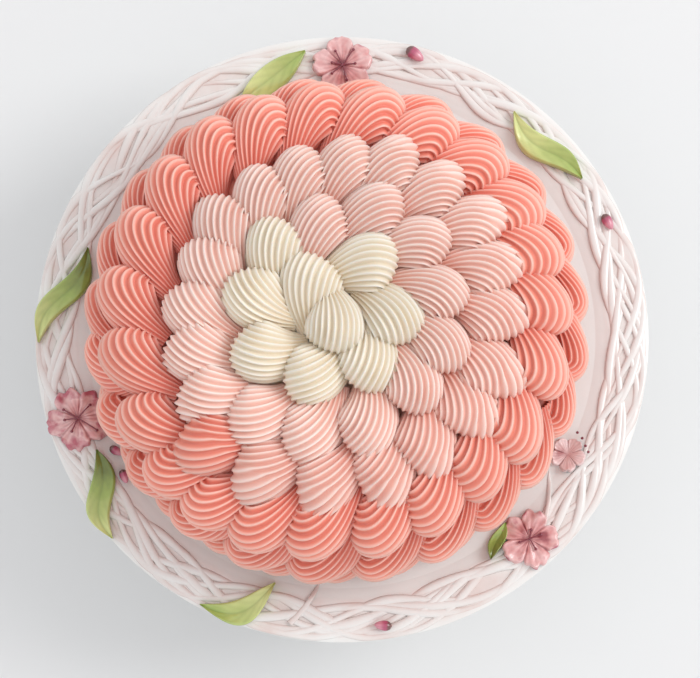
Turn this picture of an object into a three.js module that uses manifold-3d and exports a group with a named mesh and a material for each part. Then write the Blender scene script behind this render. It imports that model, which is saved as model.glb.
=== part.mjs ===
// A round layer cake covered with piped buttercream shells, on a footed ceramic stand.
// Millimetres, +Z up. The origin is the middle of the foot's underside, on the table.

import * as THREE from "three";
import { mergeVertices } from "three/addons/utils/BufferGeometryUtils.js";
import Module from "manifold-3d";

const wasm = await Module();
wasm.setup();

// Ceramic stand
const PLATE_RADIUS = 150; // a 300 mm plate
const RIM_HEIGHT = 98; // table to the top of the rim
const WELL_LEVEL = 94; // table to the flat the cake sits on
const WELL_RADIUS = 124; // the flat ends here and the rim band rises
const PLATE_THICKNESS = 7;
const FOOT_RADIUS = 72;
const FOOT_EDGE = 5; // thickness of the foot at its edge
const STEM_RADIUS = 19;
const STAND_SIDES = 40;

// Cake under its shells: domed top, chamfered shoulder, straight side
const GAP = 0.3; // clearance between pieces that touch
const CAKE_X = -2; // the cake stands a little off the plate's middle
const CAKE_Y = -2.6;
const CAKE_RADIUS = 101;
const CAKE_TOP = 167; // table to the middle of the top, without shells
const DOME_DROP = 5; // how much lower the dome is where the shoulder starts
const SHOULDER_RADIUS = 25;
const CAKE_SIDES = 48;

// Piped shells, in turns round the cake. Each is a ridged head with a tail behind it.
const SHELL_HEIGHT = 17; // crown of the head above the coat
const SHELL_FRONT = 12; // from the crown to the front
const CREASE_HEIGHT = 6.5; // where two heads press together
const TAIL_HEIGHT = 5; // where the tail comes out from under the turn inside
const RIDGES = 5; // coarse: the real ones are about three times as many
const SIDE_RIDGES = 4;
const VALLEY_SHARE = 0.14; // depth of a valley between ridges, as a share of the section
const EYE_RADIUS = 8; // where the innermost tails end
const SIDE_ROW_COUNT = 24;
const UPPER_SIDE_DISTANCE = 121;
const LOWER_SIDE_DISTANCE = 143;

// How far a shell sweeps clockwise from its tail to its front.
const TOP_SWEEP = 8;
const SHOULDER_SWEEP = 16;
const SIDE_SWEEP = 19;

const CLAY = { color: 0xf1ece6, roughness: 0.3, metalness: 0 };
const IVORY = { color: 0xf3ead6, roughness: 0.55, metalness: 0 };
const BLUSH = { color: 0xf0cfc4, roughness: 0.55, metalness: 0 };
const CORAL = { color: 0xf0907c, roughness: 0.55, metalness: 0 };

const degrees = (angle) => THREE.MathUtils.degToRad(angle);
const wobble = (index, seed) => Math.sin(12.9898 * (index + 1) + 78.233 * seed);

// Solids

function solidOf(geometry) {
  geometry.deleteAttribute("normal");
  geometry.deleteAttribute("uv");
  const merged = mergeVertices(geometry, 1e-4);
  const triangles = [];
  const index = merged.getIndex().array;
  for (let i = 0; i < index.length; i += 3) {
    const [a, b, c] = [index[i], index[i + 1], index[i + 2]];
    if (a !== b && b !== c && c !== a) triangles.push(a, b, c);
  }
  const mesh = new wasm.Mesh({
    numProp: 3,
    vertProperties: new Float32Array(merged.getAttribute("position").array),
    triVerts: new Uint32Array(triangles),
  });
  return new wasm.Manifold(mesh);
}

function geometryOf(solid) {
  const mesh = solid.getMesh();
  const geometry = new THREE.BufferGeometry();
  geometry.setAttribute("position", new THREE.BufferAttribute(mesh.vertProperties, 3));
  geometry.setIndex(new THREE.BufferAttribute(mesh.triVerts, 1));
  return geometry;
}

function meshData(points, faces) {
  const geometry = new THREE.BufferGeometry();
  geometry.setAttribute("position", new THREE.Float32BufferAttribute(points.flat(), 3));
  geometry.setIndex(faces.flat());
  return geometry;
}

// A closed body from two poles and the rings between them, from the bottom up.
function ringedSolid(points, rings, sides) {
  const at = (ring, i) => 2 + ring * sides + (i % sides);
  const faces = [];
  for (let i = 0; i < sides; i += 1) {
    faces.push([0, at(0, i + 1), at(0, i)], [1, at(rings - 1, i), at(rings - 1, i + 1)]);
    for (let ring = 0; ring + 1 < rings; ring += 1) {
      faces.push([at(ring, i), at(ring, i + 1), at(ring + 1, i + 1)]);
      faces.push([at(ring, i), at(ring + 1, i + 1), at(ring + 1, i)]);
    }
  }
  return solidOf(meshData(points, faces));
}

function lathe(profile, sides) {
  const outline = profile.map(([radius, height]) => new THREE.Vector2(radius, height));
  const geometry = new THREE.LatheGeometry(outline, sides);
  geometry.rotateX(Math.PI / 2);
  return geometry;
}

// The coat of the cake

const SHOULDER_START = CAKE_RADIUS - SHOULDER_RADIUS;
const SHOULDER_LENGTH = (SHOULDER_RADIUS * Math.PI) / 2;

// Radius, height and tilt of the coat's normal at a distance from the axis along the coat.
function coat(distance) {
  if (distance < SHOULDER_START) {
    const share = distance / SHOULDER_START;
    return {
      radius: distance,
      height: CAKE_TOP - DOME_DROP * share * share,
      tilt: Math.atan((2 * DOME_DROP * share) / SHOULDER_START),
    };
  }
  const edge = CAKE_TOP - DOME_DROP;
  const startTilt = Math.atan((2 * DOME_DROP) / SHOULDER_START);
  const turn = Math.min((distance - SHOULDER_START) / SHOULDER_LENGTH, 1) * (Math.PI / 2);
  const below = Math.max(distance - SHOULDER_START - SHOULDER_LENGTH, 0);
  return {
    radius: SHOULDER_START + SHOULDER_RADIUS * Math.sin(turn),
    height: edge - SHOULDER_RADIUS * (1 - Math.cos(turn)) - below,
    tilt: Math.max(turn, startTilt),
  };
}

// A point above the coat, at an azimuth in radians.
function overCoat(distance, azimuth, above) {
  const { radius, height, tilt } = coat(distance);
  const reach = radius + above * Math.sin(tilt);
  return [reach * Math.cos(azimuth), reach * Math.sin(azimuth), height + above * Math.cos(tilt)];
}

// The cake below its shells: low enough on the dome and shoulder for their straight undersides.
function cakeSolid() {
  const side = CAKE_RADIUS - GAP;
  const profile = [
    [0, WELL_LEVEL + GAP],
    [side, WELL_LEVEL + GAP],
    [side, CAKE_TOP - 53],
    [97, CAKE_TOP - 34],
    [84, CAKE_TOP - 13],
    [58, CAKE_TOP - 4],
    [0, CAKE_TOP - 1],
  ];
  return solidOf(lathe(profile, CAKE_SIDES));
}

// Piped shells

// Where the shells of the clockwise spiral sit: heading from +X in degrees, distance in mm.
const IVORY_TURN = [[129.5, 18], [54, 26.5], [-10, 25.5], [-60.5, 27.5], [-112, 31], [-152, 38.5], [169, 37.5]];
const INNER_BLUSH_TURN = [
  [131.5, 41.5], [99.5, 41], [68, 50], [38.5, 49.5], [9.5, 46.5], [-19, 49], [-44.5, 48], [-76, 53.5],
  [-103.5, 56], [-128, 60], [-148, 68.5], [-165.5, 66], [177, 64.5], [158, 62],
];
const OUTER_BLUSH_TURN = [
  [140.5, 66.5], [121, 64.5], [104, 65.5], [86, 68], [69.5, 71.5], [51.5, 71.5], [33, 73.5],
  [16, 71], [-1.5, 70.5], [-21.5, 73.5], [-37.5, 72.5], [-57.5, 72], [-75, 75.5], [-95.5, 76.5],
  [-116.5, 78], [-135.5, 81],
];
const CORAL_TURN = [
  [-152, 97], [-170, 94], [173.5, 95], [157, 94], [141, 94.5], [125.5, 96], [111, 93.5], [95.5, 95],
  [79.5, 94.5], [63.5, 93], [47, 93.5], [31, 93.5], [17.5, 92], [2, 91.5], [-15.5, 93], [-34, 93.5],
  [-48.5, 91.5], [-64, 93], [-79, 94.5], [-96, 95], [-110.5, 98.5], [-124, 100], [-137, 100.5],
];
const sideRow = (start, distance) =>
  Array.from({ length: SIDE_ROW_COUNT }, (_, i) => [
    start - (360 / SIDE_ROW_COUNT) * i + 1.5 * wobble(i, start),
    distance + wobble(i, distance),
  ]);

// Clockwise angles and distances of one turn's shells, with the creases between them.
function cellsOf(places, closed) {
  const around = places.map(([heading]) => -heading);
  for (let i = 1; i < around.length; i += 1) {
    while (around[i] < around[i - 1]) around[i] += 360;
  }
  const count = places.length;
  const last = count - 1;
  const distances = places.map(([, distance]) => distance);
  const creaseAt = (i) => {
    if (i > 0 && i < count) return [(around[i - 1] + around[i]) / 2, (distances[i - 1] + distances[i]) / 2];
    if (closed) return [(around[last] + around[0] + (i ? 360 : -360)) / 2, (distances[last] + distances[0]) / 2];
    const half = i ? around[last] - around[last - 1] : around[0] - around[1];
    return [around[i ? last : 0] + half / 2, distances[i ? last : 0]];
  };
  return places.map((_, i) => ({
    from: creaseAt(i),
    to: creaseAt(i + 1),
    distance: distances[i],
    height: SHELL_HEIGHT + 0.7 * wobble(i, count),
  }));
}

// The rows of a shell's surface, each with its share of the clockwise sweep.
const UNDERSIDE = 0;
const TAIL = 0.05;
const CROWN = 0.7;
const BROW = 0.95;
const FOOT = 1;
const ROWS = [UNDERSIDE, TAIL, CROWN, BROW, FOOT];

// Angle, distance and height above the coat of one point of a shell.
function shellPoint(cell, row, share, { ridges, sweep, lift }, innerEdge) {
  const across = -Math.cos(Math.PI * share);
  const swell = Math.sin(Math.PI * share);
  const ridge = 1 - VALLEY_SHARE * Math.abs(Math.cos(ridges * Math.PI * share));
  const [, edge] = across < 0 ? cell.from : cell.to;
  const middle = THREE.MathUtils.lerp(cell.distance, edge, across * across);
  const start = THREE.MathUtils.lerp(cell.from[0], cell.to[0], (1 + across) / 2);
  const angle = start + THREE.MathUtils.radToDeg((sweep * row) / coat(middle).radius);
  const rise = (cell.height - CREASE_HEIGHT) * swell * ridge;
  const reach = SHELL_FRONT * swell * ridge;
  if (row === CROWN) return [angle, middle, CREASE_HEIGHT + rise + lift];
  if (row === BROW) return [angle, middle + 0.82 * reach, 0.4 * CREASE_HEIGHT + 0.66 * (rise + lift)];
  if (row === FOOT) return [angle, middle + reach, GAP];
  return [angle, innerEdge(angle) + 2 * GAP, row === TAIL ? TAIL_HEIGHT + 0.2 * rise : GAP];
}

// Outer edge of a turn on the coat: distance as a function of the clockwise angle.
function outlineOf(cells, look) {
  const columns = 2 * look.ridges;
  const points = cells.flatMap((cell) =>
    Array.from({ length: columns }, (_, j) => shellPoint(cell, FOOT, j / columns, look)),
  );
  points.push(shellPoint(cells.at(-1), FOOT, 1, look));
  const [[first]] = points;
  return (angle) => {
    const turned = first + THREE.MathUtils.euclideanModulo(angle - first, 360);
    const next = points.findIndex((point) => point[0] > turned);
    if (next < 1) return 0;
    const [a, b] = [points[next - 1], points[next]];
    return THREE.MathUtils.mapLinear(turned, a[0], b[0], a[1], b[1]);
  };
}

// Largest reach of the turns inside at an angle, and a little to both sides of it.
const innerEdgeOf = (outlines) => (angle) => {
  const reaches = outlines.flatMap((edge) => [-2, -1, 0, 1, 2].map((side) => edge(angle + side)));
  return Math.max(EYE_RADIUS, ...reaches);
};

// One turn of shells as a closed body that lies on the coat.
function turnSolid(cells, look, innerEdge, closed) {
  const columns = 2 * look.ridges;
  const stations = cells.flatMap((cell) => Array.from({ length: columns }, (_, j) => [cell, j / columns]));
  if (!closed) stations.push([cells.at(-1), 1]);
  const points = stations.flatMap(([cell, share]) =>
    ROWS.map((row) => {
      const [angle, distance, above] = shellPoint(cell, row, share, look, innerEdge);
      return overCoat(distance, degrees(-angle), above);
    }),
  );
  const at = (station, row) => (station % stations.length) * ROWS.length + (row % ROWS.length);
  const faces = [];
  const last = stations.length - 1;
  for (let i = 0; i < (closed ? last + 1 : last); i += 1) {
    for (let row = 0; row < ROWS.length; row += 1) {
      faces.push([at(i, row), at(i + 1, row + 1), at(i, row + 1)]);
      faces.push([at(i, row), at(i + 1, row), at(i + 1, row + 1)]);
    }
  }
  if (!closed) {
    for (let row = 1; row + 1 < ROWS.length; row += 1) {
      faces.push([at(0, 0), at(0, row), at(0, row + 1)]);
      faces.push([at(last, 0), at(last, row + 1), at(last, row)]);
    }
  }
  return solidOf(meshData(points, faces));
}

// The shell in the eye of the spiral: a ridged drop that spreads over the innermost tails.
function centreSolid() {
  const rings = [[7.4, GAP], [7.4, 6.5], [13, 14.5], [13.5, 18.5], [9.5, 23.5]];
  const sides = 18;
  const points = [[0, 0, CAKE_TOP + GAP], [0, 0, CAKE_TOP + 25.5]];
  for (const [radius, above] of rings) {
    for (let i = 0; i < sides; i += 1) {
      const turn = degrees((360 / sides) * i);
      const reach = radius * (i % 2 ? 1 - VALLEY_SHARE : 1);
      points.push([reach * Math.cos(turn), reach * Math.sin(turn), CAKE_TOP + above]);
    }
  }
  return ringedSolid(points, rings.length, sides);
}

// Stand

// Flat foot, concave up to a slim stem, and a plate whose rim is a band of two rounded rings.
function standSolid() {
  const under = WELL_LEVEL - PLATE_THICKNESS;
  const profile = [
    [0, 0],
    [FOOT_RADIUS, 0],
    [FOOT_RADIUS, FOOT_EDGE],
    [56, 8.5],
    [40, 15],
    [28, 26],
    [21, 40],
    [STEM_RADIUS, 54],
    [21, 66],
    [28, 76],
    [44, under - 4],
    [70, under - 1],
    [WELL_RADIUS, under],
    [143, under + 3],
    [PLATE_RADIUS, under + 7],
    [PLATE_RADIUS - 0.6, RIM_HEIGHT - 1.4],
    [146, RIM_HEIGHT],
    [142, RIM_HEIGHT - 1.8],
    [138.5, RIM_HEIGHT - 0.6],
    [134.5, RIM_HEIGHT],
    [130, WELL_LEVEL + 1.2],
    [WELL_RADIUS, WELL_LEVEL],
    [0, WELL_LEVEL],
  ];
  return solidOf(lathe(profile, STAND_SIDES));
}

// Ornaments on the rim

const ORNAMENT_BASE = RIM_HEIGHT + GAP;
const LEAF_THICKNESS = 1.6;

// Leaves from the stem end to the tip. The midrib bows to its left and sways left, then right.
const LEAVES = [
  { from: [-18.4, 141.5], to: [-51, 115.2], width: 14, bow: 0, sway: 0 },
  { from: [85, 110.5], to: [118.2, 76.8], width: 13.5, bow: -3, sway: -2.5 },
  { from: [-124.5, 42], to: [-147.9, -5], width: 13, bow: 0, sway: 3.5 },
  { from: [-118.7, -57.5], to: [-110.3, -100.5], width: 14, bow: -2, sway: 2 },
  { from: [-34, -122.5], to: [-67.5, -131.5], width: 14.5, bow: 7, sway: 0 },
  { from: [75.5, -98], to: [64, -118.5], width: 9, bow: -2, sway: 0 },
];
const BLOSSOMS = [
  { at: [-128, -42.2], radius: 15.5 },
  { at: [0.3, 134.3], radius: 15.5 },
  { at: [90.2, -100.6], radius: 14.6 },
  { at: [111, -60], radius: 10 },
];
const BUDS = [
  { at: [36.2, 139.9], radius: 4.6 },
  { at: [130.5, 55], radius: 4.2 },
  { at: [19.7, -142], radius: 4.2 },
  { at: [-105.4, -70.2], radius: 3.2 },
  { at: [-109.6, -57.7], radius: 3 },
];

const LEAF = { color: 0xa9b78e, roughness: 0.3, metalness: 0 };
const PETAL = { color: 0xc9808c, roughness: 0.3, metalness: 0 };

// A thin wavy leaf: midrib sunk, edges lifted, both faces split alike.
function leafSolid({ from, to, width, bow, sway }) {
  const along = new THREE.Vector2(to[0] - from[0], to[1] - from[1]);
  const left = new THREE.Vector2(-along.y, along.x).normalize();
  const stations = [0.12, 0.35, 0.6, 0.85];
  const faceAt = (share, side) => {
    const half = 0.5 * width * Math.sin(Math.PI * share) * side;
    const offset = half + bow * Math.sin(Math.PI * share) + sway * Math.sin(2 * Math.PI * share);
    const x = from[0] + along.x * share + left.x * offset;
    const y = from[1] + along.y * share + left.y * offset;
    const wave = 0.7 * Math.sin(3 * Math.PI * share) + 1.2 * Math.abs(side);
    return [x, y, ORNAMENT_BASE + LEAF_THICKNESS + 0.7 + wave];
  };
  const face = [faceAt(0, 0), ...stations.flatMap((share) => [-1, 0, 1].map((side) => faceAt(share, side)))];
  face.push(faceAt(1, 0));
  const tip = face.length - 1;
  const top = [[0, 1, 2], [0, 2, 3]];
  for (let i = 0; i + 1 < stations.length; i += 1) {
    for (const a of [1 + 3 * i, 2 + 3 * i]) top.push([a, a + 3, a + 4], [a, a + 4, a + 1]);
  }
  top.push([tip - 3, tip, tip - 2], [tip - 2, tip, tip - 1]);
  return sheetSolid(face, top);
}

// A closed body from a face and the same face lowered by the leaf's thickness.
function sheetSolid(face, top) {
  const count = face.length;
  const points = [...face, ...face.map(([x, y, z]) => [x, y, z - LEAF_THICKNESS])];
  const edges = top.flatMap(([a, b, c]) => [[a, b], [b, c], [c, a]]);
  const open = edges.filter(([a, b]) => !edges.some(([c, d]) => a === d && b === c));
  const faces = [...top, ...top.map(([a, b, c]) => [a + count, c + count, b + count])];
  for (const [a, b] of open) faces.push([b, a, a + count], [b, a + count, b + count]);
  return solidOf(meshData(points, faces));
}

// A flat five-petalled blossom with a raised middle.
function blossomSolid({ at: [x, y], radius }) {
  const sides = 20;
  const rings = [[1, 0], [1, 1.6], [0.55, 3.2], [0.2, 2.4]];
  const points = [[x, y, ORNAMENT_BASE], [x, y, ORNAMENT_BASE + 4]];
  for (const [share, above] of rings) {
    for (let i = 0; i < sides; i += 1) {
      const turn = degrees((360 / sides) * i + 18);
      const lobe = share === 1 ? 0.84 + 0.16 * Math.cos(5 * turn - Math.PI / 2) : 1;
      const reach = radius * share * lobe;
      points.push([x + reach * Math.cos(turn), y + reach * Math.sin(turn), ORNAMENT_BASE + above]);
    }
  }
  return ringedSolid(points, rings.length, sides);
}

// An egg-shaped bud.
function budSolid({ at: [x, y], radius }) {
  const sides = 8;
  const rings = [[0.6, 0], [1, 2.2], [0.7, 4.4]];
  const points = [[x, y, ORNAMENT_BASE], [x, y, ORNAMENT_BASE + 5.2]];
  for (const [share, above] of rings) {
    for (let i = 0; i < sides; i += 1) {
      const turn = degrees((360 / sides) * i);
      points.push([x + radius * share * Math.cos(turn), y + radius * share * Math.sin(turn), ORNAMENT_BASE + above]);
    }
  }
  return ringedSolid(points, rings.length, sides);
}

const model = new THREE.Group();

function addPart(name, solid, look, x = 0, y = 0) {
  const mesh = new THREE.Mesh(geometryOf(solid.translate([x, y, 0])), new THREE.MeshStandardMaterial(look));
  mesh.name = name;
  model.add(mesh);
}

const TOP_LOOK = { ridges: RIDGES, sweep: TOP_SWEEP, lift: 0 };
const SIDE_LOOK = { ridges: SIDE_RIDGES, sweep: SIDE_SWEEP, lift: 0 };
const TURNS = [
  { name: "shells_ivory", color: IVORY, places: IVORY_TURN, closed: true, look: { ...TOP_LOOK, lift: 3 } },
  { name: "shells_blush_inner", color: BLUSH, places: INNER_BLUSH_TURN, look: { ...TOP_LOOK, lift: 1.5 } },
  { name: "shells_blush_outer", color: BLUSH, places: OUTER_BLUSH_TURN, look: TOP_LOOK },
  {
    name: "shells_coral_shoulder",
    color: CORAL,
    places: CORAL_TURN,
    closed: true,
    look: { ...TOP_LOOK, sweep: SHOULDER_SWEEP },
  },
  {
    name: "shells_coral_upper_side",
    color: CORAL,
    places: sideRow(173, UPPER_SIDE_DISTANCE),
    closed: true,
    look: SIDE_LOOK,
  },
  {
    name: "shells_coral_lower_side",
    color: CORAL,
    places: sideRow(165.5, LOWER_SIDE_DISTANCE),
    closed: true,
    look: SIDE_LOOK,
  },
];

function addCake() {
  addPart("cake", cakeSolid(), CORAL, CAKE_X, CAKE_Y);
  addPart("shell_centre", centreSolid(), IVORY, CAKE_X, CAKE_Y);
  const outlines = [];
  for (const { name, color, places, closed = false, look } of TURNS) {
    const cells = cellsOf(places, closed);
    addPart(name, turnSolid(cells, look, innerEdgeOf(outlines), closed), color, CAKE_X, CAKE_Y);
    outlines.push(outlineOf(cells, look));
  }
}

function addStand() {
  addPart("stand", standSolid(), CLAY);
  LEAVES.forEach((leaf, i) => addPart(`leaf_${i + 1}`, leafSolid(leaf), LEAF));
  BLOSSOMS.forEach((blossom, i) => addPart(`blossom_${i + 1}`, blossomSolid(blossom), PETAL));
  BUDS.forEach((bud, i) => addPart(`bud_${i + 1}`, budSolid(bud), PETAL));
}

addCake();
addStand();

export default model;
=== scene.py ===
"""A round layer cake covered with piped buttercream shells, on a footed ceramic stand.

Lengths are in millimetres until they become mesh points, which are in metres. +Z is up and the
origin is the middle of the foot's underside.
"""

import math

import bpy
import numpy as np
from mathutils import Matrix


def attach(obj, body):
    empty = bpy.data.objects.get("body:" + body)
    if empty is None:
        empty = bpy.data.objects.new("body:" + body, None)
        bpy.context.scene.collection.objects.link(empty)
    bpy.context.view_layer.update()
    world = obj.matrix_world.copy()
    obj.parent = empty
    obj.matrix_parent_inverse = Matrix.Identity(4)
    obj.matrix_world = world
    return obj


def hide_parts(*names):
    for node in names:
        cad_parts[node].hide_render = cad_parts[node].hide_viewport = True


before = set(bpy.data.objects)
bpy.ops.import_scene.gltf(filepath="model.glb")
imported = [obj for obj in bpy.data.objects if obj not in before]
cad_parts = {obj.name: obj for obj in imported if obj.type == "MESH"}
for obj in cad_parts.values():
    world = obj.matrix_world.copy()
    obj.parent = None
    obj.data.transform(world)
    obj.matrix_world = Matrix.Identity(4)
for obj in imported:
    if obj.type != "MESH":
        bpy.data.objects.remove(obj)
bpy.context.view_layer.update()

# Ceramic stand
PLATE_RADIUS = 150
RIM_HEIGHT = 98
WELL_LEVEL = 94
WELL_RADIUS = 124
PLATE_THICKNESS = 7
FOOT_RADIUS = 72
FOOT_EDGE = 5
STEM_RADIUS = 19

# Cake under its shells
CAKE_X = -2
CAKE_Y = -2.6
CAKE_RADIUS = 101
CAKE_TOP = 167
DOME_DROP = 5
SHOULDER_RADIUS = 25
SHOULDER_START = CAKE_RADIUS - SHOULDER_RADIUS
SHOULDER_LENGTH = SHOULDER_RADIUS * math.pi / 2

# Piped shells
SHELL_HEIGHT = 17
SHELL_FRONT = 12
SIDE_ROW_COUNT = 24
UPPER_SIDE_DISTANCE = 121
LOWER_SIDE_DISTANCE = 143
RIDGES = 14
RIDGE_STEPS = 6
RIDGE_DEPTH = 0.17  # of the section's reach
TAIL_ROWS = 14
HEAD_ROWS = 15
HEAD_ROLL = math.radians(122)  # how far the head curls over and under
SHELL_CENTRE = 0.32  # height that the head curls round, as a share of the shell's
SKIRT = 3  # how far a shell's edges go on below the coat

# Camera: it looks at the middle of the plate from almost straight above
AIM = (3.9, -3.1, 98)
CAMERA_DISTANCE = 1150
CAMERA_TILT = math.radians(9)
FOCAL_LENGTH = 121.2


def wobble(index, seed):
    """A repeatable value between -1 and 1."""
    return math.sin(12.9898 * (index + 1) + 78.233 * seed)


def smooth(value, low, high):
    """0 below low, 1 above high and an even S between them."""
    share = np.clip((value - low) / (high - low), 0, 1)
    return share * share * (3 - 2 * share)


# Meshes


def mesh_object(name, points, faces, values=None):
    """A smooth mesh piece from points in mm, with named values on its points."""
    mesh = bpy.data.meshes.new(name)
    mesh.vertices.add(len(points))
    mesh.vertices.foreach_set("co", (np.asarray(points, dtype=np.float32) / 1000).ravel())
    faces = np.asarray(faces, dtype=np.int32)
    mesh.loops.add(faces.size)
    mesh.loops.foreach_set("vertex_index", faces.ravel())
    mesh.polygons.add(len(faces))
    mesh.polygons.foreach_set("loop_start", np.arange(0, faces.size, faces.shape[1], dtype=np.int32))
    mesh.update(calc_edges=True)
    mesh.validate()
    mesh.polygons.foreach_set("use_smooth", np.ones(len(mesh.polygons), dtype=bool))
    for key, data in (values or {}).items():
        data = np.asarray(data, dtype=np.float32)
        kind = "FLOAT_VECTOR" if data.ndim == 2 else "FLOAT"
        layer = mesh.attributes.new(key, kind, "POINT")
        layer.data.foreach_set("vector" if data.ndim == 2 else "value", data.ravel())
    piece = bpy.data.objects.new(name, mesh)
    bpy.context.scene.collection.objects.link(piece)
    return piece


def grid_faces(rows, columns, closed=False, start=0):
    """Quads of a grid of points, facing up where rows run forward and columns run left."""
    row = np.arange(rows - 1)[:, None]
    column = np.arange(columns if closed else columns - 1)[None, :]
    after = (column + 1) % columns
    a = row * columns + column
    b = (row + 1) * columns + column
    c = (row + 1) * columns + after
    d = row * columns + after
    return np.stack(np.broadcast_arrays(a, b, c, d), axis=-1).reshape(-1, 4) + start


def lathe(name, profile, sides, values=None):
    """A turned piece from [radius, height] pairs, from its underside round to its top."""
    turn = np.linspace(0, 2 * math.pi, sides, endpoint=False)
    profile = np.asarray(profile, dtype=float)
    x = profile[:, 0][:, None] * np.cos(turn)
    y = profile[:, 0][:, None] * np.sin(turn)
    z = np.broadcast_to(profile[:, 1][:, None], x.shape)
    points = np.stack([x, y, z], axis=-1).reshape(-1, 3)
    return mesh_object(name, points, grid_faces(len(profile), sides, closed=True)[:, ::-1], values)


def rounded(profile, steps=6):
    """A Catmull-Rom curve through the corners of a profile."""
    profile = np.asarray(profile, dtype=float)
    padded = np.vstack([profile[0], profile, profile[-1]])
    curve = []
    for i in range(len(profile) - 1):
        a, b, c, d = padded[i : i + 4]
        for t in np.linspace(0, 1, steps, endpoint=False):
            square = (2 * a - 5 * b + 4 * c - d) * t * t
            cube = (3 * b - a - 3 * c + d) * t**3
            curve.append(0.5 * (2 * b + (c - a) * t + square + cube))
    curve.append(profile[-1])
    return np.array(curve)


# The coat of the cake


def coat(distance):
    """Radius, height and tilt of the coat at a distance from the axis along the coat."""
    distance = np.asarray(distance, dtype=float)
    share = distance / SHOULDER_START
    turn = np.clip((distance - SHOULDER_START) / SHOULDER_LENGTH, 0, 1) * math.pi / 2
    below = np.maximum(distance - SHOULDER_START - SHOULDER_LENGTH, 0)
    on_top = distance < SHOULDER_START
    radius = np.where(on_top, distance, SHOULDER_START + SHOULDER_RADIUS * np.sin(turn))
    edge = CAKE_TOP - DOME_DROP
    height = np.where(
        on_top, CAKE_TOP - DOME_DROP * share**2, edge - SHOULDER_RADIUS * (1 - np.cos(turn)) - below
    )
    start_tilt = math.atan(2 * DOME_DROP / SHOULDER_START)
    tilt = np.where(on_top, np.arctan(2 * DOME_DROP * share / SHOULDER_START), np.maximum(turn, start_tilt))
    return radius, height, tilt


def over_coat(distance, azimuth, above):
    """Points above the coat, at an azimuth in radians."""
    radius, height, tilt = coat(distance)
    reach = radius + above * np.sin(tilt)
    x = CAKE_X + reach * np.cos(azimuth)
    y = CAKE_Y + reach * np.sin(azimuth)
    return np.stack([x, y, height + above * np.cos(tilt)], axis=-1)


def unrolled(place, out, clockwise, above):
    """Points near a place on the coat: outward, clockwise and above it, as on paper laid there."""
    azimuth, distance = place
    radius, _, tilt = coat(distance)
    slant = radius / max(math.cos(tilt), 1e-4)
    sector = np.arctan2(clockwise, slant + out)
    reach = np.hypot(clockwise, slant + out) - slant
    return over_coat(np.maximum(distance + reach, 0), math.radians(azimuth) - sector * slant / radius, above)


# Piped shells

# Azimuth in degrees and distance from the axis along the coat, in the order of piping.
CENTRE = [(-95, 8.5)]
IVORY_TURN = [(129.5, 18), (54, 26.5), (-10, 25.5), (-60.5, 27.5), (-112, 31), (-152, 38.5), (169, 37.5)]
INNER_BLUSH_TURN = [
    (131.5, 41.5), (99.5, 41), (68, 50), (38.5, 49.5), (9.5, 46.5), (-19, 49), (-44.5, 48), (-76, 53.5),
    (-103.5, 56), (-128, 60), (-148, 68.5), (-165.5, 66), (177, 64.5), (158, 62),
]
OUTER_BLUSH_TURN = [
    (140.5, 66.5), (121, 64.5), (104, 65.5), (86, 68), (69.5, 71.5), (51.5, 71.5), (33, 73.5),
    (16, 71), (-1.5, 70.5), (-21.5, 73.5), (-37.5, 72.5), (-57.5, 72), (-75, 75.5), (-95.5, 76.5),
    (-116.5, 78), (-135.5, 81),
]
SHOULDER_TURN = [
    (-152, 97), (-170, 94), (173.5, 95), (157, 94), (141, 94.5), (125.5, 96), (111, 93.5), (95.5, 95),
    (79.5, 94.5), (63.5, 93), (47, 93.5), (31, 93.5), (17.5, 92), (2, 91.5), (-15.5, 93), (-34, 93.5),
    (-48.5, 91.5), (-64, 93), (-79, 94.5), (-96, 95), (-110.5, 98.5), (-124, 100), (-137, 100.5),
]


def side_row(start, distance):
    """Places of a row of shells round the side, clockwise from an azimuth."""
    step = 360 / SIDE_ROW_COUNT
    return [
        (start - step * i + 1.5 * wobble(i, start), distance + wobble(i, distance))
        for i in range(SIDE_ROW_COUNT)
    ]


def shell_grid(size, bend, seed):
    """Forward, clockwise and height of one shell's points as grids, and the depth of its valleys.

    Its rows follow the tail and then roll over the head, and its columns go from side to side.
    """
    width, height, front, tail, neck = size
    columns = RIDGES * RIDGE_STEPS + 1
    around = np.linspace(0, math.pi, columns)[None, :]
    row = np.arange(TAIL_ROWS)[:, None] / TAIL_ROWS
    grow = np.vstack([row, np.ones((HEAD_ROWS, 1))])
    roll = np.vstack([np.zeros((TAIL_ROWS, 1)), np.linspace(0, HEAD_ROLL, HEAD_ROWS)[:, None]])
    swell = np.sin(grow * math.pi / 2)
    half = width / 2 * (neck + (1 - neck) * swell**1.1)
    tall = height * (0.34 + 0.66 * swell**1.3)
    flute = np.abs(np.sin(RIDGES * around + 0.5 * wobble(seed, 3) * np.sin(around))) ** 1.4
    waver = 0.9 + 0.1 * np.sin(3 * around + 5 * wobble(seed, 9)) * np.cos(2 * grow + 2 * roll)
    depth = RIDGE_DEPTH * waver * (1 - 0.4 * smooth(roll, 0.4, 1.6))
    section = 1 - depth * flute
    side = half * np.cos(around) * section
    share = np.sin(around) ** 0.78 * section
    above = tall * share * (SHELL_CENTRE + (1 - SHELL_CENTRE) * np.cos(roll))
    forward = -tail * (1 - grow) + front * share * np.sin(roll)
    right = -side
    turn = bend * forward
    sway = bend * forward**2 / 2
    swung = forward - right * np.sin(turn) * 0.8
    return swung, right * np.cos(turn) + sway, above, flute * (depth / RIDGE_DEPTH)


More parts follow.
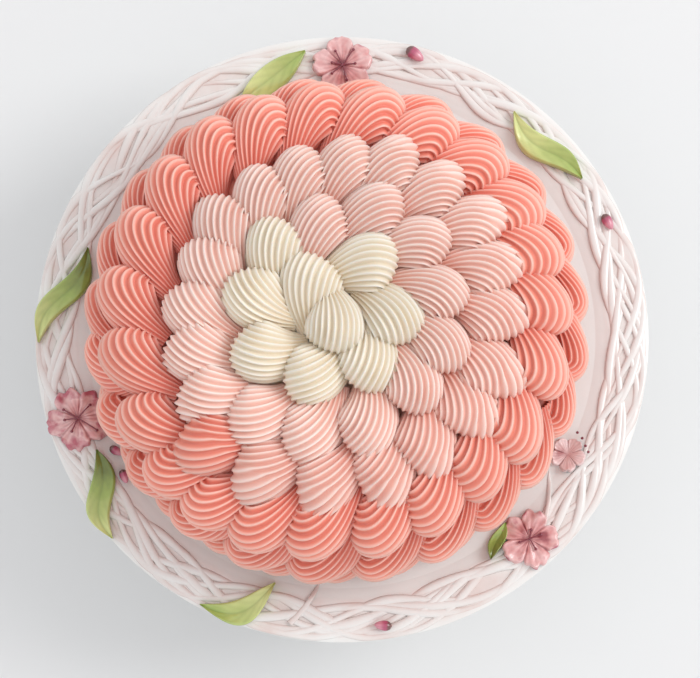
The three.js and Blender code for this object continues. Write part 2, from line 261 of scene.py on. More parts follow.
def shell_points(place, heading, lift, tip, size, bend, seed):
    """One shell set on the coat: its points, the depth of its valleys and its share of the height."""
    _, height, front, tail, _ = size
    forward, right, above, valley = shell_grid(size, bend, seed)
    angle = math.radians(heading)
    out = forward * math.cos(angle) - right * math.sin(angle)
    clockwise = forward * math.sin(angle) + right * math.cos(angle)
    rise = lift + tip * smooth(forward, -tail, front)
    edge = np.full((len(above), 1), -SKIRT)
    above = np.hstack([edge, above + rise, edge])
    out = np.hstack([out[:, :1], out, out[:, -1:]])
    clockwise = np.hstack([clockwise[:, :1], clockwise, clockwise[:, -1:]])
    # The edge columns take deeper valley values: painted shade where the shell's sides tuck into the coat.
    valley = np.hstack([valley[:, :1] + 0.5, valley, valley[:, -1:] + 0.5])
    points = unrolled(place, out, clockwise, above)
    return points, valley, np.maximum(above, 0) / (height + lift + tip)


def turn_of_shells(name, places, heading, lift, tip, bend, shell, cream, borrowed=-1, drift=0.0):
    """One turn of the spiral or one row of the side as a single piece. The borrowed shell has the
    cream of the next colour, and along the turn the others drift toward it."""
    length, breadth, neck = shell
    points = []
    faces = []
    valley = []
    level = []
    tone = []
    other = []
    start = 0
    for i, place in enumerate(places):
        width = breadth * (1 + 0.06 * wobble(i, 1))
        height = SHELL_HEIGHT * (1 + 0.07 * wobble(i, 2))
        front = SHELL_FRONT * (1 + 0.06 * wobble(i, 4))
        grid, depth, height_share = shell_points(
            place,
            heading + 8 * wobble(i, 5),
            lift,
            tip,
            (width, height, front, length * (1 + 0.06 * wobble(i, 7)), neck),
            bend * (1 + 0.2 * wobble(i, 6)),
            seed=i + len(places),
        )
        rows, columns = depth.shape
        points.append(grid.reshape(-1, 3))
        faces.append(grid_faces(rows, columns, start=start))
        valley.append(depth.ravel())
        level.append(height_share.ravel())
        drifted = drift * smooth(i / len(places), 0.15, 0.75)
        tone.append(np.full(depth.size, wobble(i, 8) - 2.5 * drifted))
        other.append(np.full(depth.size, 1.0 if i == borrowed else float(drifted)))
        start += depth.size
    values = {
        "valley": np.concatenate(valley),
        "level": np.concatenate(level),
        "tone": np.concatenate(tone),
        "other": np.concatenate(other),
    }
    piece = mesh_object(name, np.vstack(points), np.vstack(faces), values)
    piece.data.materials.append(cream)
    return piece


# Materials


def new_material(name):
    material = bpy.data.materials.new(name)
    material.use_nodes = True
    nodes = material.node_tree.nodes
    return material, nodes, material.node_tree.links, nodes["Principled BSDF"]


def attribute(nodes, name):
    node = nodes.new("ShaderNodeAttribute")
    node.attribute_name = name
    return node


def ramp(nodes, links, value, stops):
    """A colour that follows a value through [place, colour] stops."""
    node = nodes.new("ShaderNodeValToRGB")
    links.new(value, node.inputs["Fac"])
    elements = node.color_ramp.elements
    while len(elements) < len(stops):
        elements.new(1)
    for element, (place, colour) in zip(elements, stops):
        element.position = place
        element.color = (*colour, 1)
    return node.outputs["Color"]


def maths(nodes, links, operation, a, b=0.0):
    node = nodes.new("ShaderNodeMath")
    node.operation = operation
    for socket, value in zip(node.inputs, (a, b)):
        if isinstance(value, bpy.types.NodeSocket):
            links.new(value, socket)
        else:
            socket.default_value = value
    return node.outputs[0]


def scaled(nodes, links, value, factor, offset):
    node = nodes.new("ShaderNodeMath")
    node.operation = "MULTIPLY_ADD"
    links.new(value, node.inputs[0])
    node.inputs[1].default_value = factor
    node.inputs[2].default_value = offset
    return node.outputs[0]


def mix_colour(nodes, links, factor, a, b):
    node = nodes.new("ShaderNodeMix")
    node.data_type = "RGBA"
    sockets = [node.inputs["Factor"], node.inputs[6], node.inputs[7]]
    for socket, value in zip(sockets, (factor, a, b)):
        if isinstance(value, bpy.types.NodeSocket):
            links.new(value, socket)
        elif isinstance(value, tuple):
            socket.default_value = (*value, 1)
        else:
            socket.default_value = value
    return node.outputs[2]


def noise(nodes, links, scale, detail=3.0):
    place = nodes.new("ShaderNodeTexCoord")
    node = nodes.new("ShaderNodeTexNoise")
    links.new(place.outputs["Object"], node.inputs["Vector"])
    node.inputs["Scale"].default_value = scale
    node.inputs["Detail"].default_value = detail
    return node.outputs["Fac"]


def bump(nodes, links, height, strength, distance):
    node = nodes.new("ShaderNodeBump")
    links.new(height, node.inputs["Height"])
    node.inputs["Strength"].default_value = strength
    node.inputs["Distance"].default_value = distance
    return node.outputs["Normal"]


# Each cream gives three colours: a painted highlight for its ridge crests, its own body colour, and a
# painted shade for its valleys and low parts.
IVORY = ((0.89, 0.85, 0.77), (0.82, 0.74, 0.60), (0.70, 0.50, 0.28))
BLUSH = ((0.92, 0.80, 0.74), (0.84, 0.57, 0.49), (0.68, 0.23, 0.15))
CORAL = ((0.95, 0.62, 0.53), (0.84, 0.31, 0.23), (0.64, 0.08, 0.05))


def shaded_tint(nodes, links, shade, low, tint):
    crest, body, deep = tint
    # Painted light: the crest colour is a painted highlight on the ridges and the deep colour is painted
    # shade in the valleys.
    colour = ramp(nodes, links, shade, [(0.0, crest), (0.3, body), (1.0, deep)])
    # Painted shade: low mixes the deep colour into the low parts of a shell.
    return mix_colour(nodes, links, low, colour, deep)


def buttercream(name, tint, other_tint=None):
    """Soft buttercream with painted light: paler on the ridges as a painted highlight, deeper in the
    valleys, tails and joints as painted shade.

    A tint is the painted highlight of a crest, the colour of the body and the painted shade of a deep joint.
    """
    material, nodes, links, shader = new_material(name)
    valley = attribute(nodes, "valley").outputs["Fac"]
    level = attribute(nodes, "level").outputs["Fac"]
    tone = attribute(nodes, "tone").outputs["Fac"]
    patches = noise(nodes, links, 60, 2)
    # Painted shade: shade grows with the depth of the valleys between the ridges.
    shade = scaled(nodes, links, valley, 0.6, 0.03)
    # Painted shade: low rises toward the foot of each shell, where it tucks under the next shells and meets
    # the coat.
    low = maths(nodes, links, "MAXIMUM", scaled(nodes, links, level, -0.95, 0.68), 0.0)
    colour = shaded_tint(nodes, links, shade, low, tint)
    if other_tint:
        other = attribute(nodes, "other").outputs["Fac"]
        colour = mix_colour(nodes, links, other, colour, shaded_tint(nodes, links, shade, low, other_tint))
    per_shell = scaled(nodes, links, tone, 0.04, 0.96)
    vary = maths(nodes, links, "ADD", per_shell, scaled(nodes, links, patches, 0.06, 0))
    tinted = nodes.new("ShaderNodeHueSaturation")
    links.new(colour, tinted.inputs["Color"])
    links.new(vary, tinted.inputs["Value"])
    links.new(tinted.outputs["Color"], shader.inputs["Base Color"])
    shader.inputs["Roughness"].default_value = 0.45
    shader.inputs["Specular IOR Level"].default_value = 0.4
    shader.inputs["Subsurface Weight"].default_value = 0.12
    shader.inputs["Subsurface Radius"].default_value = (1.0, 0.55, 0.35)
    shader.inputs["Subsurface Scale"].default_value = 0.0012
    grain = noise(nodes, links, 900, 4)
    links.new(bump(nodes, links, grain, 0.25, 0.0004), shader.inputs["Normal"])
    return material


# Colours of the coat below the shells, by the share of the cake's radius. They follow the creams' own ivory,
# blush and coral, but are painted lighter: painted light that lifts the shade in the gaps between shells.
COAT_TINTS = [
    (0.0, (0.94, 0.82, 0.60)),
    (0.3, (0.92, 0.66, 0.50)),
    (0.6, (0.88, 0.40, 0.28)),
    (0.85, (0.80, 0.24, 0.17)),
]


def core_cream():
    """The coat below the shells, ivory in the middle and coral at the shoulder, painted lighter to lift the
    shade in its gaps.
    """
    material, nodes, links, shader = new_material("cream_coat")
    ring = attribute(nodes, "ring").outputs["Fac"]
    links.new(ramp(nodes, links, ring, COAT_TINTS), shader.inputs["Base Color"])
    shader.inputs["Roughness"].default_value = 0.6
    grain = noise(nodes, links, 500, 4)
    links.new(bump(nodes, links, grain, 0.3, 0.0005), shader.inputs["Normal"])
    return material


def glaze(name, colour_of):
    """Glossy glazed ceramic. colour_of makes its colour from nodes and links."""
    material, nodes, links, shader = new_material(name)
    links.new(colour_of(nodes, links), shader.inputs["Base Color"])
    shader.inputs["Roughness"].default_value = 0.22
    shader.inputs["Coat Weight"].default_value = 0.4
    shader.inputs["Coat Roughness"].default_value = 0.12
    uneven = noise(nodes, links, 120, 2)
    links.new(bump(nodes, links, uneven, 0.25, 0.0006), shader.inputs["Normal"])
    return material


WHITE_GLAZE = (0.81, 0.83, 0.805)
WASH = (0.66, 0.47, 0.42)


def washed_colour(nodes, links):
    """White glaze with a brownish pink wash where the wash value is high."""
    wash = attribute(nodes, "wash").outputs["Fac"]
    cloud = maths(nodes, links, "MULTIPLY", noise(nodes, links, 70, 3), 1.5)
    amount = maths(nodes, links, "MULTIPLY", wash, cloud)
    return mix_colour(nodes, links, amount, WHITE_GLAZE, WASH)


LEAF_TINTS = [(0.0, (0.13, 0.17, 0.03)), (0.4, (0.33, 0.44, 0.10)), (1.0, (0.66, 0.70, 0.28))]
LEAF_RIB = (0.13, 0.20, 0.05)


def green_colour(nodes, links):
    """Mottled green that pales with the share, darker along the rib and the edge."""
    share = attribute(nodes, "share").outputs["Fac"]
    vein = attribute(nodes, "vein").outputs["Fac"]
    mottle = maths(nodes, links, "MULTIPLY", noise(nodes, links, 140, 3), 0.35)
    mixed = maths(nodes, links, "ADD", share, maths(nodes, links, "SUBTRACT", mottle, 0.17))
    colour = ramp(nodes, links, mixed, LEAF_TINTS)
    return mix_colour(nodes, links, vein, colour, LEAF_RIB)


# From a blossom's dark middle through its petals to their edges.
PETALS = ((0.34, 0.08, 0.09), (0.69, 0.31, 0.30), (0.83, 0.54, 0.52), (0.50, 0.13, 0.17))
PALE_PETALS = ((0.50, 0.22, 0.22), (0.78, 0.52, 0.50), (0.84, 0.66, 0.64), (0.80, 0.56, 0.57))
PETAL_VEIN = (0.22, 0.04, 0.06)
BUD_TINTS = [(0.4, (0.44, 0.07, 0.15)), (1.0, (0.72, 0.30, 0.37))]
SEPAL = (0.11, 0.07, 0.05)


def petal_colour(nodes, links, tints):
    """Mottled petals that go through the tints with the share, darker along their veins."""
    share = attribute(nodes, "share").outputs["Fac"]
    vein = attribute(nodes, "vein").outputs["Fac"]
    mottle = maths(nodes, links, "MULTIPLY", noise(nodes, links, 190, 4), 1.1)
    mixed = maths(nodes, links, "ADD", share, maths(nodes, links, "SUBTRACT", mottle, 0.6))
    colour = ramp(nodes, links, mixed, list(zip((0.0, 0.35, 0.7, 1.0), tints)))
    return mix_colour(nodes, links, vein, colour, PETAL_VEIN)


def pink_colour(nodes, links):
    return petal_colour(nodes, links, PETALS)


def pale_pink_colour(nodes, links):
    return petal_colour(nodes, links, PALE_PETALS)


def bud_colour(nodes, links):
    """Deep pink that pales to the tip, from dark brownish green sepals."""
    share = attribute(nodes, "share").outputs["Fac"]
    vein = attribute(nodes, "vein").outputs["Fac"]
    return mix_colour(nodes, links, vein, ramp(nodes, links, share, BUD_TINTS), SEPAL)


IVORY_CREAM = buttercream("cream_ivory", IVORY)
INNER_CREAM = buttercream("cream_blush_inner", BLUSH, IVORY)
OUTER_CREAM = buttercream("cream_blush_outer", BLUSH, CORAL)
CORAL_CREAM = buttercream("cream_coral", CORAL)
CORE_CREAM = core_cream()
STAND_GLAZE = glaze("glaze_white", washed_colour)
LEAF_GLAZE = glaze("glaze_green", green_colour)
PETAL_GLAZE = glaze("glaze_pink", pink_colour)
PALE_PETAL_GLAZE = glaze("glaze_pale_pink", pale_pink_colour)
BUD_GLAZE = glaze("glaze_deep_pink", bud_colour)


def finished(piece, slot, *nodes):
    """The piece rides on the one body and stands for the nodes, which it hides; slot is not used."""
    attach(piece, "root")
    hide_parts(*nodes)


# Cake

# Name, places, heading, lift, lift of the tip, bend, [length, breadth, neck], cream, slot and node.
TURNS = [
    ("shell_middle", CENTRE, -11, 8, 2, 0.03, (18, 28, 0.36), IVORY_CREAM, "buttercream_ivory",
     "shell_centre"),
    ("ivory_shells", IVORY_TURN, 48, 3.5, 3, 0.034, (21, 31.5, 0.46), IVORY_CREAM, "buttercream_ivory",
     "shells_ivory"),
    ("inner_blush_shells", INNER_BLUSH_TURN, 48, 2, 3, 0.034, (24, 29.5, 0.5), INNER_CREAM,
     "buttercream_blush", "shells_blush_inner"),
    ("outer_blush_shells", OUTER_BLUSH_TURN, 50, 1, 3, 0.034, (24, 30, 0.5), OUTER_CREAM,
     "buttercream_blush", "shells_blush_outer"),
    ("shoulder_shells", SHOULDER_TURN, 74, 0, 3, 0.04, (25, 27, 0.62), CORAL_CREAM, "buttercream_coral",
     "shells_coral_shoulder"),
    ("upper_side_shells", side_row(173, UPPER_SIDE_DISTANCE), 72, 2, 1.5, 0.04, (26, 29, 0.64), CORAL_CREAM,
     "buttercream_coral", "shells_coral_upper_side"),
    ("lower_side_shells", side_row(165.5, LOWER_SIDE_DISTANCE), 68, 0.5, 1, 0.03, (22, 27, 0.5), CORAL_CREAM,
     "buttercream_coral", "shells_coral_lower_side"),
]
# The first shell after the ivory ones is ivory too, and the last before the coral ones is coral.
BORROWED = {"inner_blush_shells": 0, "outer_blush_shells": len(OUTER_BLUSH_TURN) - 1}
# How far the last shell of a turn has gone to the cream of the next colour.
DRIFT = {"outer_blush_shells": 0.3}


def make_cake():
    top = [(r, float(coat(r)[1]) - 0.4) for r in (0, 20, 40, 60, 76)]
    arc = [(float(coat(d)[0]) - 0.4, float(coat(d)[1]) - 0.4) for d in np.linspace(80, 116, 12)]
    profile = [(0, WELL_LEVEL + 0.3), (CAKE_RADIUS - 0.4, WELL_LEVEL + 0.3)] + arc[::-1] + top[::-1]
    ring = np.repeat([radius / CAKE_RADIUS for radius, _ in profile], 128)
    core = lathe("cake_coat", profile, 128, {"ring": ring})
    core.location = (CAKE_X / 1000, CAKE_Y / 1000, 0)
    core.data.materials.append(CORE_CREAM)
    finished(core, "buttercream_coral", "cake")
    for name, places, heading, lift, tip, bend, shell, cream, slot, node in TURNS:
        borrowed = BORROWED.get(name, -1)
        drift = DRIFT.get(name, 0.0)
        piece = turn_of_shells(name, places, heading, lift, tip, bend, shell, cream, borrowed, drift)
        finished(piece, slot, node)


# Stand

STAND_SIDES = 240
BAND_HEIGHT = 95.9  # the band below the twigs
TWIGS = 9
TWIG_WAVES = (7, 8, 6, 9, 7, 8, 5, 7, 6)  # how often each swings across the band
TWIG_STEPS = 900
TWIG_SIDES = 12
TWIG_FLATNESS = 0.5


def make_stand():
    under = WELL_LEVEL - PLATE_THICKNESS
    foot = [
        (0, 0),
        (FOOT_RADIUS - 1, 0),
        (FOOT_RADIUS, 1),
        (FOOT_RADIUS, FOOT_EDGE - 1),
        (FOOT_RADIUS - 2, FOOT_EDGE),
    ]
    stem = rounded(
        [(FOOT_RADIUS - 2, FOOT_EDGE), (56, 8.5), (40, 15), (28, 26), (21, 40), (STEM_RADIUS, 54), (21, 66),
         (28, 76), (44, under - 4), (70, under - 1), (WELL_RADIUS, under), (143, under + 3)]
    )
    edge = rounded(
        [(143, under + 3), (148.6, under + 5.6), (PLATE_RADIUS, under + 8), (149.2, RIM_HEIGHT - 2.2),
         (147, RIM_HEIGHT - 1.6)]
    )
    band = rounded(
        [(147, RIM_HEIGHT - 1.6), (143, RIM_HEIGHT - 2), (136, BAND_HEIGHT), (131, BAND_HEIGHT),
         (127.5, WELL_LEVEL + 1), (WELL_RADIUS, WELL_LEVEL)],
        10,
    )
    well = [(110, WELL_LEVEL), (60, WELL_LEVEL), (0, WELL_LEVEL)]
    profile = np.vstack([foot, stem, edge[1:], band[1:], well])
    radius = profile[:, 0]
    on_top = profile[:, 1] > WELL_LEVEL - 0.05
    on_band = smooth(radius, 128, 132) * (1 - 0.6 * smooth(radius, 145, 149))
    wash = 0.55 * on_band * on_top + 0.06 * (1 - on_top)
    values = {"wash": np.repeat(wash, STAND_SIDES)}
    plate = lathe("plate_and_pedestal", profile, STAND_SIDES, values)
    plate.data.materials.append(STAND_GLAZE)
    finished(plate, "glazed_white", "stand")
    make_twigs()


def twig_path(index):
    """Turn, radius, height and thickness along one twig round the rim."""
    turn = np.linspace(0, 2 * math.pi, TWIG_STEPS, endpoint=False)
    phase = 2 * math.pi * index / TWIGS
    waves = TWIG_WAVES[index]
    radius = 139.6 + 7.4 * np.sin(waves * turn + phase) + 1.6 * np.sin(5 * turn + 2.1 * index)
    height = BAND_HEIGHT + 0.4 * np.sin(2 * waves * turn + 1.7 * index + 0.8) + 0.3 * wobble(index, 11)
    thick = 1.9 + 0.4 * np.sin(11 * turn + index) + 0.25 * np.sin(23 * turn + 3 * index)
    return turn, radius, height, thick


# Two twigs that leave the weave across the flat: ends and thickness.
LOOSE_TWIGS = [((100.5, -67), (97, -96), 1.3), ((-10.7, -121.5), (-25, -141), 1.5)]


def loose_twig(start, end, thick):
    """A tapered twig that lies on the plate, as a grid from its free end on."""
    along = np.linspace(0, 1, 24)[:, None]
    round_it = np.linspace(0, 2 * math.pi, TWIG_SIDES, endpoint=False)[None, :]
    run = np.array(end) - np.array(start)
    left = np.array([-run[1], run[0]]) / np.hypot(*run)
    girth = thick * np.sqrt(np.clip(6 * along, 0.01, 1)) * (0.7 + 0.3 * along)
    offset = girth * np.cos(round_it) + 1.2 * np.sin(math.pi * along)
    x = start[0] + run[0] * along + left[0] * offset
    y = start[1] + run[1] * along + left[1] * offset
    z = surface(x, y) + TWIG_FLATNESS * girth * np.sin(round_it)
    return np.stack([x, y, z], axis=-1)


def make_twigs():
    points = []
    faces = []
    wash = []
    start = 0
    for index in range(TWIGS):
        turn, radius, height, thick = twig_path(index)
        round_it = np.linspace(0, 2 * math.pi, TWIG_SIDES, endpoint=False)[None, :]
        out = radius[:, None] + thick[:, None] * np.cos(round_it)
        up = height[:, None] + TWIG_FLATNESS * thick[:, None] * np.sin(round_it)
        out = np.minimum(out, PLATE_RADIUS - 0.3)
        grid = np.stack([out * np.cos(turn)[:, None], out * np.sin(turn)[:, None], up], axis=-1)
        points.append(grid.reshape(-1, 3))
        quads = grid_faces(TWIG_STEPS, TWIG_SIDES, closed=True)
        last = (TWIG_STEPS - 1) * TWIG_SIDES
        side = np.arange(TWIG_SIDES)
        after = (side + 1) % TWIG_SIDES
        seam = np.stack([last + side, side, after, last + after], axis=-1)
        faces.append(np.vstack([quads, seam])[:, ::-1] + start)
        wash.append((0.3 + 0.5 * (1 - smooth(up, BAND_HEIGHT, BAND_HEIGHT + 1.2))).ravel())
        start += grid.shape[0] * grid.shape[1]
    for twig in LOOSE_TWIGS:
        grid = loose_twig(*twig)
        points.append(grid.reshape(-1, 3))
        faces.append(grid_faces(grid.shape[0], TWIG_SIDES, closed=True, start=start))
        wash.append(np.full(grid.shape[0] * TWIG_SIDES, 0.6))
        start += grid.shape[0] * grid.shape[1]
    twigs = mesh_object("rim_twigs", np.vstack(points), np.vstack(faces), {"wash": np.concatenate(wash)})
    twigs.data.materials.append(STAND_GLAZE)
    finished(twigs, "glazed_white", "stand")


# Ornaments on the rim

LEAF_LIFT = 2.9  # a leaf's face above the twigs
# Stem end, tip, width, bow of the midrib to its left, sway to its left and back, and how far the
# colour is from dark green (0) to yellow (1) at the stem end and at the tip.
LEAVES = [
    ((-18.4, 141.5), (-51, 115.2), 14, 0, 0, 0.4, 0.95),
    ((85, 110.5), (118.2, 76.8), 13.5, -3, -2.5, 0.95, 0.35),
    ((-124.5, 42), (-147.9, -5), 13, 0, 3.5, -0.08, 0.85),
    ((-118.7, -57.5), (-110.3, -100.5), 13, -2, 3, -0.1, 0.85),
    ((-32, -121.5), (-68, -132), 12.5, 9, -0.5, 0.9, 0.4),
    ((79, -92.5), (71.5, -110.5), 7, -0.5, 0.5, 0.45, 0.05),
]
# Middle, radius, glaze, tones of the middle and of the edge (above 0.7 they turn deep pink), how
# crumpled the petals are, where their deep patch is, whether the stamens show whole or as beads
# alone, and the turn and length of each.
BLOSSOMS = [
    ((-128, -42.2), 15.8, PETAL_GLAZE, (0.1, 1.15), 1.0, (8, -10), True,
     [(48, 0.55), (-32, 0.7), (-112, 0.45), (150, 0.5), (190, 0.4)]),
    ((0.3, 134.3), 15.5, PETAL_GLAZE, (0.3, 0.75), 0.5, (-1, 0), True,
     [(55, 0.6), (5, 0.4), (118, 0.5), (-75, 0.5), (-140, 0.45), (170, 0.35)]),
    ((90.2, -100.6), 14.6, PETAL_GLAZE, (0.2, 0.78), 0.9, (7, 1), True,
     [(20, 0.4), (80, 0.3), (200, 0.35), (-60, 0.4)]),
    ((109.5, -59.5), 8.8, PALE_PETAL_GLAZE, (0.4, 0.75), 0.2, (-5, 0), False,
     [(48, 1.15), (24, 1.02), (4, 1.08), (66, 1.3)]),
]
BUDS = [
    ((36.2, 139.9), 5.2, -38),
    ((130.5, 55), 4.4, -60),
    ((19.7, -142), 4.2, 175),
    ((-105.4, -70.2), 3.6, -70),
    ((-109.6, -57.7), 3.6, -30),
]


def surface(x, y):
    """Height of the twigs on the band, and of the flat inside it."""
    return WELL_LEVEL + 0.1 + 3.1 * smooth(np.hypot(x, y), 123, 131)


def make_leaf(number, start, tip, width, bow, sway, stem_tone, tip_tone):
    """A thin wavy leaf with a sunk rib, side veins and edges that turn down to the band."""
    rows = 37
    columns = 17
    along = np.linspace(0, 1, rows)[:, None]
    across = np.linspace(-1, 1, columns)[None, :]
    start = np.array(start)
    run = np.array(tip) - start
    left = np.array([-run[1], run[0]]) / np.hypot(*run)
    half = width / 2 * np.sin(math.pi * np.clip(along, 0.012, 0.99)) ** 0.85
    offset = half * across + bow * np.sin(math.pi * along) + sway * np.sin(2 * math.pi * along)
    x = start[0] + run[0] * along + left[0] * offset
    y = start[1] + run[1] * along + left[1] * offset
    vein = np.abs(np.sin(math.pi * (5.5 * along - 1.6 * np.abs(across)))) ** 4
    vein = vein * smooth(np.abs(across), 0.05, 0.2) * (1 - smooth(np.abs(across), 0.8, 1))
    rib = np.exp(-((across / 0.1) ** 2))
    wave = 0.6 * np.sin(3 * math.pi * along) + 0.9 * np.abs(across) ** 1.5
    lip = np.where(np.abs(across) > 0.999, -1.2, 0)
    z = surface(x, y) + LEAF_LIFT + wave - 0.3 * rib - 0.08 * vein + lip
    grid = np.stack([x, y, z], axis=-1)
    skirt = grid[:, [0, -1]].copy()
    skirt[..., 2] = surface(skirt[..., 0], skirt[..., 1]) - 0.3
    grid = np.concatenate([skirt[:, :1], grid, skirt[:, 1:]], axis=1)
    tone = stem_tone + (tip_tone - stem_tone) * smooth(along, 0, 1)
    share = np.clip(tone + 0.12 * np.abs(across) - 0.1 * across * np.sin(math.pi * along), 0, 1)
    dark = np.clip(0.14 * vein + 0.3 * rib, 0, 0.5) + 0 * share
    values = {
        "share": np.hstack([share[:, :1], share, share[:, -1:]]).ravel(),
        "vein": np.hstack([dark[:, :1] + 0.3, dark, dark[:, -1:] + 0.3]).ravel(),
    }
    faces = grid_faces(rows, columns + 2)
    piece = mesh_object(f"rim_leaf_{number}", grid.reshape(-1, 3), faces, values)
    piece.data.materials.append(LEAF_GLAZE)
    finished(piece, "glazed_green", f"leaf_{number}")


def make_blossom(number, middle, radius, petal_glaze, tones, crumple, deep, whole, stamens):
    """Five broad cupped petals round a dark middle, with stamens that reach out over them."""
    rings = 14
    sides = 120
    out = np.linspace(0, 1, rings)[:, None]
    turn = np.linspace(0, 2 * math.pi, sides, endpoint=False)[None, :]
    petal = np.abs(np.cos(2.5 * (turn + 0.4 * number)))
    notch = 1 - 0.07 * np.exp(-(((petal - 1) / 0.02) ** 2))
    ragged = 1 + 0.03 * crumple * (np.sin(11 * turn + number) + np.sin(17 * turn + 2 * number))
    reach = radius * (0.68 + 0.33 * petal**0.5) * notch * ragged
    groove = np.exp(-((petal / 0.12) ** 2))
    streak = np.abs(np.sin(12.5 * (turn + 0.4 * number))) ** 3
    x = middle[0] + reach * np.minimum(out * 1.03, 1) * np.cos(turn)
    y = middle[1] + reach * np.minimum(out * 1.03, 1) * np.sin(turn)
    above = 2.0 + 2.0 * out**1.4 - 1.3 * groove * out - 0.1 * streak * out + 0.5 * np.cos(math.pi * out)
    above = above + 0.5 * np.sin(5 * turn + number) * out**2
    fold = np.sin(9 * turn + 5 * out + number) * np.sin(3 * turn - 7 * out) * out
    above = above + 0.7 * crumple * fold
    z = surface(x, y) + np.where(out > 0.999, -0.2, above)
    patch = np.exp(-(((x - middle[0] - deep[0]) ** 2 + (y - middle[1] - deep[1]) ** 2) / 12))
    tone = tones[0] + (tones[1] - tones[0]) * out**0.9
    share = np.clip(tone - 0.3 * groove + 0.25 * crumple * fold - 0.6 * patch, 0, 1)
    vein = np.clip(0.45 * streak * (1 - out) + 0.35 * groove * out - 0.3 * crumple * fold * (1 - out), 0, 1)
    grids = [(np.stack([x, y, z], axis=-1), share, vein)]
    for turned, share_out in stamens:
        line, bead = stamen(middle, math.radians(turned), radius * share_out)
        for grid in [line, bead] if whole else [bead]:
            grids.append((grid, np.zeros(grid.shape[:2]), np.ones(grid.shape[:2])))
    points = []
    faces = []
    start = 0
    for grid, _, _ in grids:
        points.append(grid.reshape(-1, 3))
        faces.append(grid_faces(grid.shape[0], grid.shape[1], closed=True, start=start))
        start += grid.shape[0] * grid.shape[1]
    values = {
        "share": np.concatenate([grid[1].ravel() for grid in grids]),
        "vein": np.concatenate([grid[2].ravel() for grid in grids]),
    }
    piece = mesh_object(f"rim_blossom_{number}", np.vstack(points), np.vstack(faces), values)
    piece.data.materials.append(petal_glaze)
    finished(piece, "glazed_pink", f"blossom_{number}")


def stamen(middle, angle, length):
    """A thin raised line from the middle outward and the bead at its end, as two grids."""
    out = np.linspace(0, length, 6)[:, None]
    round_it = np.linspace(0, 2 * math.pi, 6, endpoint=False)[None, :]
    side = 0.32 * np.cos(round_it) + 0 * out
    x = middle[0] + out * math.cos(angle) - side * math.sin(angle)
    y = middle[1] + out * math.sin(angle) + side * math.cos(angle)
    z = surface(x, y) + 3.3 + 0.1 * out + 0.32 * np.sin(round_it)
    end = (middle[0] + length * math.cos(angle), middle[1] + length * math.sin(angle))
    return np.stack([x, y, z], axis=-1)[::-1], dome(end, 0.75)


def dome(middle, radius):
    """A small round bead as a grid, from its crown down."""
    down = np.linspace(0.02, 2.4, 7)[:, None]
    turn = np.linspace(0, 2 * math.pi, 10, endpoint=False)[None, :]
    x = middle[0] + radius * np.sin(down) * np.cos(turn)
    y = middle[1] + radius * np.sin(down) * np.sin(turn)
    z = surface(x, y) + 3.9 + radius * np.cos(down)
    return np.stack([x, y, z], axis=-1)


def make_bud(number, middle, radius, heading):
    """A pointed bud with a darker cup of sepals at its stem end."""
    rings = 15
    sides = 28
    along = np.linspace(-1, 1, rings)[:, None]
    turn = np.linspace(0, 2 * math.pi, sides, endpoint=False)[None, :]
    girth = np.sqrt(np.clip(1 - along**2, 0.001, 1)) * (1 - 0.25 * along)
    forward = radius * along + 0 * turn
    side = 0.58 * radius * girth * np.cos(turn)
    base = surface(*middle)
    up = base + 0.45 * radius + 0.5 * radius * girth * np.sin(turn)
    angle = math.radians(heading)
    x = middle[0] + forward * math.cos(angle) - side * math.sin(angle)
    y = middle[1] + forward * math.sin(angle) + side * math.cos(angle)
    grid = np.stack([x, y, up], axis=-1)
    share = 0.45 + 0.5 * smooth(along, -0.2, 0.4) + 0 * turn
    vein = 0.2 * np.abs(np.sin(4 * turn)) ** 4 + 0.8 * smooth(-along, 0.3, 0.65)
    values = {"share": share.ravel(), "vein": np.clip(vein, 0, 0.9).ravel()}
    faces = grid_faces(rings, sides, closed=True)[:, ::-1]
    piece = mesh_object(f"rim_bud_{number}", grid.reshape(-1, 3), faces, values)
    piece.data.materials.append(BUD_GLAZE)
    finished(piece, "glazed_pink", f"bud_{number}")


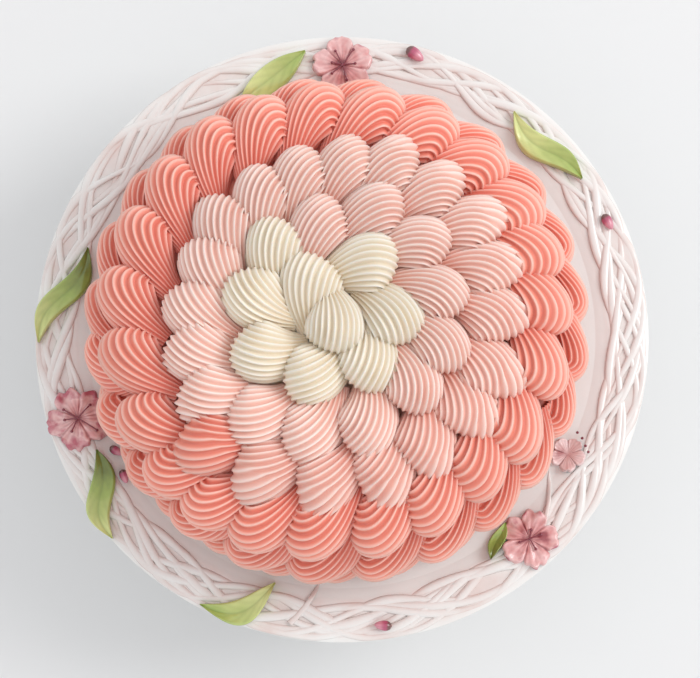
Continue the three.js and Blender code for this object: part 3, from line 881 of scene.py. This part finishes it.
def make_ornaments():
    for number, leaf in enumerate(LEAVES, 1):
        make_leaf(number, *leaf)
    for number, blossom in enumerate(BLOSSOMS, 1):
        make_blossom(number, *blossom)
    for number, (middle, radius, heading) in enumerate(BUDS, 1):
        make_bud(number, middle, radius, heading)


# Studio

FLOOR = 3000


def make_studio():
    """Pale floor, soft even light with one large window to the right, and the camera."""
    corners = [(-FLOOR, -FLOOR, 0), (FLOOR, -FLOOR, 0), (FLOOR, FLOOR, 0), (-FLOOR, FLOOR, 0)]
    floor = mesh_object("floor", corners, [(0, 1, 2, 3)])
    material, nodes, links, shader = new_material("floor_pale")
    shader.inputs["Base Color"].default_value = (0.74, 0.74, 0.735, 1)
    shader.inputs["Roughness"].default_value = 0.8
    floor.data.materials.append(material)
    world = bpy.data.worlds.new("studio")
    world.use_nodes = True
    world.node_tree.nodes["Background"].inputs["Color"].default_value = (0.97, 0.975, 1, 1)
    world.node_tree.nodes["Background"].inputs["Strength"].default_value = 0.96
    bpy.context.scene.world = world
    add_light("window", (2.2, 0.5, 2.3), 1.4, 40)
    scene = bpy.context.scene
    scene.view_settings.view_transform = "Standard"
    camera_data = bpy.data.cameras.new("camera")
    camera = bpy.data.objects.new("camera", camera_data)
    scene.collection.objects.link(camera)
    camera_data.lens = FOCAL_LENGTH
    camera_data.sensor_width = 36
    camera_data.clip_end = 20
    camera.location = (
        AIM[0] / 1000,
        (AIM[1] - CAMERA_DISTANCE * math.sin(CAMERA_TILT)) / 1000,
        (AIM[2] + CAMERA_DISTANCE * math.cos(CAMERA_TILT)) / 1000,
    )
    camera.rotation_euler = (CAMERA_TILT, 0, 0)
    scene.camera = camera


def add_light(name, place, size, power):
    """A square light in metres and watts, turned to the cake."""
    data = bpy.data.lights.new(name, "AREA")
    data.size = size
    data.energy = power
    light = bpy.data.objects.new(name, data)
    bpy.context.scene.collection.objects.link(light)
    light.location = place
    aim = np.array([0, 0, 0.1]) - np.array(place)
    yaw = math.atan2(aim[1], aim[0])
    pitch = math.atan2(math.hypot(aim[0], aim[1]), -aim[2])
    light.rotation_euler = (pitch, 0, yaw - math.pi / 2)


make_cake()
make_stand()
make_ornaments()
make_studio()
bpy.context.view_layer.update()
